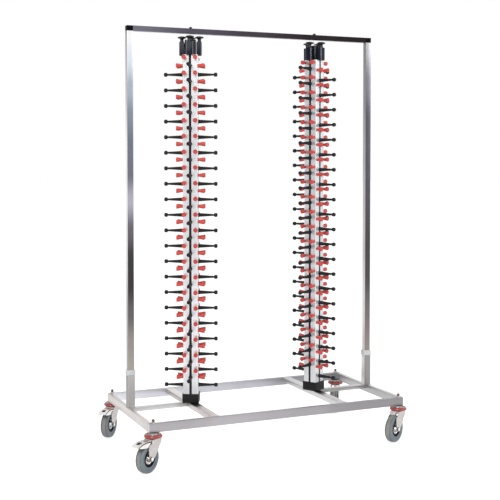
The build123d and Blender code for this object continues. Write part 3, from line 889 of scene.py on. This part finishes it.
class CART_OT_columns(bpy.types.Operator):
    """Aluminium extrusions, feet and centre caps of the two columns"""

    bl_idname = "cart.columns"
    bl_label = "Columns"

    def execute(self, context):
        settings = context.scene.cart_columns
        low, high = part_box("left_column_profiles")
        profile = add_plate("profile", extrusion_outline(settings), (high.z - low.z) / MM)
        place(profile, Matrix.Translation((0, 0, low.z - FRAME_TOP)))
        foot = add_square("foot", 0.040, 0.0004, 0.0434, settings.foot_rounding, 4, 0.0014)
        pivot = add_turned("pivot", [(7.2, -17.6), (8.0, -16.8), (8.0, 0.8)], 32)
        foot = join([foot, pivot], "foot")
        cap = add_square("cap", 0.027, 1.676, 1.748, 0.008, 3, 0.002)
        drill(cap, 6.8, 1712.0, 1750.0)

        aluminium = brushed("anodised_aluminium", settings.aluminium, 0.32, Z, contrast=0.05, smudge=0.06)
        foot_black = moulded("foot_plastic", settings.foot_black, 0.38, shine=0.2)
        for side in SIDES:
            column = f"{side}_column"
            quarters = [column_matrix(side, quarter) for quarter in range(4)]
            piece = gather(profile, quarters, f"{column}_extrusion")
            dress(piece, column, f"{column}_profiles", aluminium, crease=30.0)
            piece = gather(foot, quarters[:1], f"{column}_black_foot")
            dress(piece, column, f"{column}_foot", foot_black)
            piece = gather(cap, quarters[:1], f"{column}_centre_cap")
            dress(piece, column, f"{column}_cap", gloss_plastic())
            paint(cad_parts[f"{column}_core"], aluminium)
        discard(profile, foot, cap)
        return {"FINISHED"}


def level_heights(quarter):
    """Heights of a face's arms over the frame's top, in mm. Front and rear sit half a pitch higher."""
    first = FIRST_ARM + (ARM_PITCH / 2 if quarter % 2 == 0 else 0.0)
    return [first + level * ARM_PITCH for level in range(ARM_LEVELS)]


class CART_OT_arm_rails(bpy.types.Operator):
    """Sliding rails with their ball-ended arms"""

    bl_idname = "cart.arm_rails"
    bl_label = "Arm rails"

    def execute(self, context):
        arms = context.scene.cart_arms
        root, neck, ball = (d / 2 / MM for d in (arms.root_diameter, arms.neck_diameter, arms.ball_diameter))
        tip = arms.reach / MM
        stations = [
            (root, 0.0), (root, 2.4), (root * 0.88, 4.2), (neck, tip - 17.2), (ball * 0.84, tip - 16.2),
            (ball, tip - 13.0), (ball, tip - 4.6), (ball * 0.82, tip - 1.2), (ball * 0.42, tip),
        ]
        arm = add_turned("arm", stations, arms.sides)
        web = [(5.7, -36.2), (5.7, -32.7), (9.5, -32.7), (9.5, -29.7)]
        strip = add_plate("strip", web + [(-x, y) for x, y in reversed(web)], 1690.0)
        lug = add_block("lug", (-0.009, -0.0504, 1.678), (0.009, -0.0297, 1.690))
        bevel(lug, 0.002, 2, lambda a, b: along(Z)(a, b) and a.y < -0.045)
        drill(lug, SCREW_BORE, 1670.0, 1700.0, at_screw())
        strip = join([strip, lug], "strip")
        black = moulded("arm_plastic", arms.black, 0.42, shine=0.2)
        for side in SIDES:
            for quarter, face in enumerate(FACES):
                body = f"{side}_column_{face}_rail"
                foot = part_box(body)[0].z - FRAME_TOP
                at_foot = column_matrix(side, quarter) @ Matrix.Translation((0, 0, foot))
                # How far this rail is screwed up from its middle position, in mm.
                setting = foot / MM - RAIL_FOOT
                places = [
                    face_matrix(side, quarter, 0, COLUMN_HALF + 0.1, height + setting)
                    for height in level_heights(quarter)
                ]
                pieces = [gather(strip, [at_foot], "strip_copy"), gather(arm, places, "arm_copies")]
                piece = join(pieces, f"{body}_arms")
                dress(piece, body, body, black, crease=50.0)
        discard(arm, strip)
        return {"FINISHED"}


class CART_OT_cups(bpy.types.Operator):
    """Pairs of red rubber cups over every arm"""

    bl_idname = "cart.cups"
    bl_label = "Rubber cups"

    def execute(self, context):
        cups = context.scene.cart_cups
        root, tip = cups.root_diameter / 2 / MM, cups.tip_diameter / 2 / MM
        reach = cups.reach / MM
        stations = [
            (root, 0.0), (root * 1.02, 5.0), (tip * 0.93, reach - 8.0), (tip, reach - 1.4),
            (tip * 0.84, reach), (tip * 0.6, reach - 3.0),
        ]
        cup = add_turned("cup", stations, cups.sides)
        red = moulded("cup_rubber", cups.red, 0.48, grain=0.00008, scale=700.0)
        for side in SIDES:
            places = [
                face_matrix(side, quarter, across, COLUMN_HALF + 0.05, height + CUP_RISE)
                for quarter in range(4)
                for height in level_heights(quarter)
                for across in (-CUP_ACROSS, CUP_ACROSS)
            ]
            body = f"{side}_column"
            piece = gather(cup, places, f"{body}_rubber_cups")
            dress(piece, body, f"{body}_cups", red, crease=50.0)
        discard(cup)
        return {"FINISHED"}


class CART_OT_housings(bpy.types.Operator):
    """Glossy housings round the adjusting screws"""

    bl_idname = "cart.housings"
    bl_label = "Housings"

    def execute(self, context):
        shell = add_block("shell", (-0.017, -0.054, 1.674), (0.017, -0.030, 1.738))
        bevel(shell, 0.0032, 4, lambda a, b: along(Z)(a, b) and a.y < -0.05)
        bevel(shell, 0.0012, 2, at_level(Z, 1.738))
        hollow = add_block("hollow", (-0.014, -0.051, 1.670), (0.014, -0.029, 1.732))
        combine(shell, hollow, "DIFFERENCE")
        drill(shell, SCREW_BORE, 1700.0, 1750.0, at_screw())
        black = context.scene.cart_knobs.housing_black
        finishes = (
            moulded("housing_plastic", black, 0.2, grain=0.00001, scale=300.0, shine=0.12),
            # Painted highlight: a lighter blue-grey on the rounded outer corners.
            moulded("housing_corner_plastic", (0.12, 0.125, 0.155), 0.12, **GLOSSY),
        )
        finish_faces(shell, finishes, self.painted_highlight_zone)
        for side in SIDES:
            body = f"{side}_column"
            quarters = [column_matrix(side, quarter) for quarter in range(4)]
            piece = gather(shell, quarters, f"{body}_screw_housings")
            dress(piece, body, f"{body}_housings", crease=30.0)
        discard(shell)
        return {"FINISHED"}

    def painted_highlight_zone(self, face):
        """1 on the rounded outer corners, which get a lighter, glossier painted highlight along their whole
        height, 0 elsewhere.
        """
        return int(face.center.y < -0.05 and 0.1 < abs(face.normal.x) < 0.99)


class CART_OT_knobs(bpy.types.Operator):
    """Mushroom knobs on their screws"""

    bl_idname = "cart.knobs"
    bl_label = "Knobs"

    def execute(self, context):
        radius = context.scene.cart_knobs.knob_diameter / 2 / MM
        stations = [
            (3.4, 1679.0), (4.0, 1680.0), (4.0, 1738.4), (9.6, 1738.4), (10.0, 1739.4), (9.6, 1741.4),
            (8.6, 1744.4), (8.2, 1748.0), (9.0, 1751.6), (12.0, 1754.4), (radius * 0.86, 1755.6),
            (radius * 0.97, 1756.8), (radius, 1758.6), (radius * 0.98, 1761.0), (radius * 0.88, 1763.2),
            (radius * 0.62, 1765.0), (radius * 0.30, 1766.0), (radius * 0.1, 1766.3),
        ]
        knob = place(add_turned("knob", stations, 32), at_screw())
        for side in SIDES:
            for quarter, face in enumerate(FACES):
                body = f"{side}_column_{face}_knob"
                piece = gather(knob, [column_matrix(side, quarter)], f"{body}_mushroom")
                dress(piece, body, body, gloss_plastic(), crease=40.0)
        discard(knob)
        return {"FINISHED"}


# ---------------------------------------------------------------- casters
class CART_OT_caster_mounts(bpy.types.Operator):
    """Stems with their races, dome nuts and red bumper rings"""

    bl_idname = "cart.caster_mounts"
    bl_label = "Caster mounts"

    def execute(self, context):
        casters = context.scene.cart_casters
        places = [caster_matrix(corner) for corner in CORNERS]
        race = [
            (11.2, 141.6), (12.0, 142.2), (12.0, 144.6), (7.0, 144.6), (7.0, 149.4), (24.6, 149.4),
            (25.0, 150.0), (25.0, 162.4), (24.0, 163.6), (21.0, 164.2), (20.0, 166.0), (20.0, 170.8),
            (21.0, 172.0), (6.0, 172.0), (6.0, 214.0),
        ]
        stem = add_turned("stem", race, 40)
        # Painted shade: the stems and races take a darker copy of the zinc for the shade under the rail.
        stem_zinc = plated("stem_zinc", shade(casters.zinc, 0.72), 0.3)
        dress(gather(stem, places, "caster_stem_races"), "frame", "caster_stems", stem_zinc)

        flange = add_turned("flange", [(10.0, 0), (10.4, 0.6), (10.4, 4.6), (9.6, 5.6)], 6)
        dome = [(5.4, 5.4), (5.2, 7.8), (6.6, 9.2), (7.0, 11.4), (6.9, 13.8), (6.0, 16.2), (4.2, 18.0)]
        dome.append((1.2, 19.0))
        crown = add_turned("crown", dome, 24)
        nut = join([paint(flange, zinc()), paint(crown, dark_nut())], "nut")
        place(nut, Matrix.Translation((0, 0, FRAME_TOP)))
        dress(gather(nut, places, "caster_dome_nuts"), "frame", "caster_nuts")

        section = [
            (25.2, 149.6), (33.5, 149.5), (38.4, 150.2), (41.0, 152.2), (41.8, 155.0), (41.2, 158.0),
            (39.2, 161.6), (36.6, 164.4), (34.0, 165.6), (30.6, 165.2), (25.2, 162.2),
        ]
        ring = add_ring("ring", section, 48)
        red = moulded("ring_rubber", casters.ring_red, 0.22, grain=0.00003, coat=0.4)
        piece = gather(ring, places, "red_bumper_rings")
        dress(piece, "frame", "bumper_rings", red, crease=60.0)
        discard(stem, nut, ring)
        return {"FINISHED"}


def fork_outline(trail, height):
    """Side view of the fork in mm, X along the trail and Y up, round the axle's eye."""
    points = [(38, 149), (-30, 149), (-30, 131), (-24, 122), (-12, 109), (-2, 92), (9, 75.5)]
    for step in range(10):
        turn = math.radians(222 + step * 14)
        points.append((trail + 12.6 * math.cos(turn), height + 12.6 * math.sin(turn)))
    return points + [(56.6, 74.0), (58.6, 90.0), (60.6, 109.0), (57.4, 121.0), (47.0, 129.6), (38, 132.5)]


class CART_OT_forks(bpy.types.Operator):
    """Pressed forks with their axle bolts"""

    bl_idname = "cart.forks"
    bl_label = "Forks"

    def execute(self, context):
        casters = context.scene.cart_casters
        trail, height = casters.trail, casters.wheel_diameter / 2
        channel = add_block("channel", (-0.030, -0.024, 0.045), (0.038, 0.024, 0.149))
        bevel(channel, 0.0045, 4, lambda a, b: along(X)(a, b) and a.z > 0.14)
        stretch = add_block("stretch", (-0.031, -0.024, 0.045), (0.062, 0.024, 0.1330))
        bevel(stretch, 0.0002, 1, along(X))
        combine(channel, stretch, "UNION")
        outline = add_plate("outline", fork_outline(trail / MM, height / MM), 60.0)
        place(outline, Matrix.Translation((0, 0.030, 0)) @ LAID_OVER)
        combine(channel, outline, "INTERSECT")
        hollow = add_block("hollow", (-0.050, -0.021, 0.040), (0.070, 0.021, 0.145))
        bevel(hollow, 0.0025, 3, lambda a, b: along(X)(a, b) and a.z > 0.14)
        combine(channel, hollow, "DIFFERENCE")
        drill(channel, 15.0, 130.0, 155.0)
        paint(channel, zinc())

        bolt = paint(add_turned("bolt", [(5.0, -21.2), (5.0, 21.2)], 24), bright_zinc())
        heads = []
        for turn in (-math.pi / 2, math.pi / 2):
            # Painted shadow: the washers take the dark nut finish to draw a dark ring round the bright axle
            # nut.
            washer = paint(add_turned("washer", [(11.0, 23.9), (11.0, 24.9), (10.4, 25.3)], 28), dark_nut())
            nut = paint(add_dome_nut("nut", 16.0, 5.4, 0.8, 6.9), bright_zinc())
            place(nut, Matrix.Translation((0, 0, 0.0252)))
            heads.append(place(join([washer, nut], "head"), Matrix.Rotation(turn, 4, "X")))
        axle = join([place(bolt, LAID_OVER)] + heads, "axle")
        place(axle, Matrix.Translation((trail, 0, height)))
        for corner in CORNERS:
            at_corner = caster_matrix(corner)
            fork = gather(channel, [at_corner], "fork_copy")
            if corner in BRAKED:
                drill(fork, 6.8, -30.0, 30.0, at_corner @ AT_PEDAL_PIN)
            piece = join([fork, gather(axle, [at_corner], "axle_copy")], f"{corner}_pressed_fork")
            dress(piece, f"{corner}_fork", f"{corner}_fork", crease=32.0)
        discard(channel, axle)
        return {"FINISHED"}


class CART_OT_wheels(bpy.types.Operator):
    """Grey tyres on their dished wheel centres"""

    bl_idname = "cart.wheels"
    bl_label = "Wheels"

    def execute(self, context):
        casters = context.scene.cart_casters
        outer, rim, dish = (
            d / 2 / MM for d in (casters.wheel_diameter, casters.rim_diameter, casters.dish_diameter)
        )
        half = [
            (rim + 0.1, 12.4), (rim + 1.2, 14.6), (rim + 6.0, 16.0), (47.6, 16.9), (SIDE_GROOVE, 16.3),
            (48.8, 17.0), (53.5, 17.7), (57.5, 17.9), (61.2, 16.8), (63.4, 14.4), (64.4, 11.6), (64.5, 11.0),
            (64.0, 10.3), (64.3, 9.4), (64.8, 8.6), (outer, 5.0),
        ]
        tyre = add_ring("tyre", self.both_halves(half), 64)
        finishes = (
            moulded("tyre_rubber", casters.tyre_grey, 0.46, grain=0.00008, scale=500.0, shine=0.4),
            # Painted shade: a much darker copy of the tyre grey in the grooves.
            moulded("tyre_groove", shade(casters.tyre_grey, 0.22), 0.6, shine=0.1),
            moulded("tread_rubber", casters.tread_grey, 0.6, grain=0.00012, scale=500.0, shine=0.3),
        )
        finish_faces(tyre, finishes, self.tyre_zone)
        half = [
            (5.3, 20.5), (11.2, 20.5), (12.0, 19.6), (12.6, 13.0), (15.5, 8.6), (21.5, 7.4),
            (dish - 1.8, 9.4), (dish, 12.4), (dish + 1.4, 14.8), (rim - 1.2, 15.6), (rim, 14.6),
        ]
        hub = add_ring("hub", self.both_halves(half), 48)
        finishes = (
            brushed("dished_wheel", (0.60, 0.575, 0.56), 0.26, Y, contrast=0.05, smudge=0.1),
            moulded("rim_plastic", (0.004, 0.004, 0.005), 0.4, shine=0.05),
        )
        finish_faces(hub, finishes, lambda face: int(self.radius_height(face)[0] > dish - 1.2))
        at_axle = Matrix.Translation((casters.trail, 0, outer * MM)) @ LAID_OVER
        for corner in CORNERS:
            places = [caster_matrix(corner) @ at_axle]
            piece = gather(tyre, places, f"{corner}_rubber_tyre")
            dress(piece, f"{corner}_wheel", f"{corner}_tyre", crease=40.0)
            piece = gather(hub, places, f"{corner}_wheel_centre")
            dress(piece, f"{corner}_wheel", f"{corner}_hub", crease=40.0)
        discard(tyre, hub)
        return {"FINISHED"}

    def both_halves(self, half):
        return half + [(radius, -height) for radius, height in reversed(half)]

    def radius_height(self, face):
        """Radius of a face and its height from the wheel's middle, in mm."""
        middle = face.center / MM
        return math.hypot(middle.x, middle.y), abs(middle.z)

    def tyre_zone(self, face):
        """2 on the tread, 1 for the painted shade in the grooves beside the tread and in the tyre's sides, 0
        elsewhere.
        """
        radius, height = self.radius_height(face)
        if height < 9.3:
            return 2
        return int(height < 10.9 or abs(radius - SIDE_GROOVE) < 0.5)


class CART_OT_brakes(bpy.types.Operator):
    """Pressed brake pedals with their rubber shoes"""

    bl_idname = "cart.brakes"
    bl_label = "Brake pedals"

    def execute(self, context):
        top = [(39, 144.4), (50, 146.2), (79, 147.0), (100, 144.4), (117, 139.6), (125, 136.4), (131, 133.6)]
        tongue = [(27.5, 142.4), (36, 144.0), (42, 144.9)]
        sheet = self.add_layer("sheet", top, 1.9, 20.5)
        combine(sheet, self.add_layer("tongue", tongue, 2.2, 17.0), "UNION")
        slot = add_block("slot", (0.088, -0.009, 0.130), (0.112, 0.009, 0.160))
        bevel(slot, 0.004, 3, along(Z))
        combine(sheet, slot, "DIFFERENCE")
        drill(sheet, 10.0, 130.0, 160.0, Matrix.Translation((0.066, 0.003, 0)))
        # Painted shade: a black strip under the top's edge stands in for the shaded gap between the top and
        # the flanks.
        pad = self.add_layer("pad", [(x, z - 1.9) for x, z in top[:-1]], 5.4, 20.4)
        bevel(pad, 0.0004, 1, every_edge)
        flank = [
            (45, 138.8), (79, 139.9), (100, 137.3), (122, 130.7), (121, 128.4), (104, 123.8), (80, 120.0),
            (60, 119.0), (47, 121.6),
        ]
        ear = [(26.5, 141.6), (46, 143.4), (46, 134.6), (33, 133.6), (27.2, 136.0)]
        plates = []
        for outline, places in ((flank, (-0.0185, 0.0205)), (ear, (-0.0150, 0.0170))):
            for across in places:
                plate = add_plate("plate", outline, 2.0)
                plates.append(place(plate, Matrix.Translation((0, across, 0)) @ LAID_OVER))
        pin = add_turned("pin", [(2.7, -24.9), (3.0, -24.5), (3.0, 24.5), (2.7, 24.9)], 20)
        steel = paint(join([sheet, place(pin, AT_PEDAL_PIN)] + plates, "steel"), bright_zinc())
        shoe = add_block("shoe", (0.045, -0.010, 0.1346), (0.057, 0.010, 0.1430))
        bevel(shoe, 0.0012, 2, every_edge)
        # The shoe's black rubber also colours the painted shade strip.
        shoe = paint(join([shoe, pad], "shoe"), moulded("shoe_rubber", (0.006, 0.005, 0.005), 0.5, shine=0.1))
        pedal = join([steel, shoe], "pedal")
        for corner in BRAKED:
            body = f"{corner}_brake_pedal"
            piece = gather(pedal, [caster_matrix(corner)], f"{body}_pressing")
            dress(piece, body, body, crease=30.0)
        discard(pedal)
        return {"FINISHED"}

    def add_layer(self, name, top, thickness, half):
        """A sheet whose top follows a line of (reach, height), with its width across the axle, in mm."""
        under = [(x, z - thickness) for x, z in reversed(top)]
        layer = add_plate(name, top + under, 2 * half)
        return place(layer, Matrix.Translation((0, half * MM, 0)) @ LAID_OVER)


# ---------------------------------------------------------------- stage
class CART_OT_stage(bpy.types.Operator):
    """Pale floor, soft lights, white surroundings and the camera"""

    bl_idname = "cart.stage"
    bl_label = "Stage"

    def execute(self, context):
        stage = context.scene.cart_stage
        clear_selection()
        bpy.ops.mesh.primitive_plane_add(size=60.0, location=(0, 20.0, 0))
        floor = name_new("floor")
        floor.data.materials.append(self.floor_finish(stage))

        self.add_light("key", (-3.4, -4.2, 4.6), (0.0, 0.0, 0.9), 3.2, stage.key_power)
        self.add_light("fill", (4.2, -2.6, 2.6), (0.0, 0.0, 0.8), 3.0, stage.fill_power)
        self.surroundings(context, stage)

        lens = bpy.data.cameras.new("camera")
        lens.lens = stage.focal_px / FRAME_PX * lens.sensor_width
        lens.shift_y = stage.shift
        lens.clip_end = 100.0
        camera = bpy.data.objects.new("camera", lens)
        camera.location = stage.camera_place
        camera.rotation_euler = (math.pi / 2 - stage.camera_pitch, 0, -stage.camera_yaw)
        context.scene.collection.objects.link(camera)
        context.scene.camera = camera
        context.scene.view_settings.view_transform = "Standard"
        return {"FINISHED"}

    def add_light(self, name, position, target, size, power):
        lamp = bpy.data.lights.new(name, "AREA")
        lamp.shape = "DISK"
        lamp.size = size
        lamp.energy = power
        light = bpy.data.objects.new(name, lamp)
        light.location = position
        light.rotation_euler = (Vector(target) - Vector(position)).to_track_quat("-Z", "Y").to_euler()
        bpy.context.scene.collection.objects.link(light)

    def seen(self, tree):
        """1 for rays that look at the surroundings straight or in a reflection."""
        path = tree.nodes.new("ShaderNodeLightPath")
        total = path.outputs["Is Camera Ray"]
        for name in ("Is Glossy Ray", "Is Transmission Ray"):
            total = self.calculate(tree, "MAXIMUM", total, path.outputs[name])
        return total

    def calculate(self, tree, operation, first, second):
        node = tree.nodes.new("ShaderNodeMath")
        node.operation = operation
        tree.links.new(first, node.inputs[0])
        if isinstance(second, float):
            node.inputs[1].default_value = second
        else:
            tree.links.new(second, node.inputs[1])
        return node.outputs[0]

    def floor_finish(self, stage):
        finish = bpy.data.materials.new("pale_floor")
        finish.use_nodes = True
        tree = finish.node_tree
        shader = feed(tree, tree.nodes["Principled BSDF"], Base_Color=(*stage.floor, 1.0), Roughness=0.8)
        strength = self.calculate(tree, "MULTIPLY", self.seen(tree), stage.floor_glow)
        glow = add_node(tree, "ShaderNodeEmission", Strength=strength)
        total = tree.nodes.new("ShaderNodeAddShader")
        tree.links.new(shader.outputs["BSDF"], total.inputs[0])
        tree.links.new(glow.outputs["Emission"], total.inputs[1])
        feed(tree, tree.nodes["Material Output"], Surface=total.outputs[0])
        return finish

    def surroundings(self, context, stage):
        world = bpy.data.worlds.new("white_room")
        world.use_nodes = True
        tree = world.node_tree
        white = (*PLAIN, 1.0)
        dim = feed(tree, tree.nodes["Background"], Color=white, Strength=stage.ambient)
        bright = add_node(tree, "ShaderNodeBackground", Color=white, Strength=1.0)
        mixer = add_node(tree, "ShaderNodeMixShader", Fac=self.seen(tree))
        tree.links.new(dim.outputs[0], mixer.inputs[1])
        tree.links.new(bright.outputs[0], mixer.inputs[2])
        feed(tree, tree.nodes["World Output"], Surface=mixer.outputs[0])
        context.scene.world = world


OPERATORS = (
    CART_OT_base_frame, CART_OT_hoop, CART_OT_column_pins, CART_OT_columns, CART_OT_arm_rails, CART_OT_cups,
    CART_OT_housings, CART_OT_knobs, CART_OT_caster_mounts, CART_OT_forks, CART_OT_wheels, CART_OT_brakes,
    CART_OT_stage,
)


class CART_PT_panel(bpy.types.Panel):
    """Lists the steps that build the cart, with their sizes and colours"""

    bl_idname = "CART_PT_panel"
    bl_label = "Plate dispenser cart"
    bl_space_type = "VIEW_3D"
    bl_region_type = "UI"
    bl_category = "Cart"

    def draw(self, context):
        layout = self.layout
        for operator in OPERATORS:
            layout.operator(operator.bl_idname, text=operator.bl_label)
        for name, group in GROUPS.items():
            box = layout.box()
            box.label(text=name.replace("_", " ").capitalize())
            for field in group.__annotations__:
                box.prop(getattr(context.scene, name), field)


def register():
    for name, group in GROUPS.items():
        bpy.utils.register_class(group)
        setattr(bpy.types.Scene, name, PointerProperty(type=group))
    for operator in OPERATORS:
        bpy.utils.register_class(operator)
    bpy.utils.register_class(CART_PT_panel)


def unregister():
    bpy.utils.unregister_class(CART_PT_panel)
    for operator in reversed(OPERATORS):
        bpy.utils.unregister_class(operator)
    for name, group in GROUPS.items():
        delattr(bpy.types.Scene, name)
        bpy.utils.unregister_class(group)


def main():
    register()
    bpy.ops.cart.stage()
    bpy.ops.cart.base_frame()
    bpy.ops.cart.hoop()
    bpy.ops.cart.column_pins()
    bpy.ops.cart.columns()
    bpy.ops.cart.arm_rails()
    bpy.ops.cart.cups()
    bpy.ops.cart.housings()
    bpy.ops.cart.knobs()
    bpy.ops.cart.caster_mounts()
    bpy.ops.cart.forks()
    bpy.ops.cart.wheels()
    bpy.ops.cart.brakes()


if __name__ == "__main__":
    main()
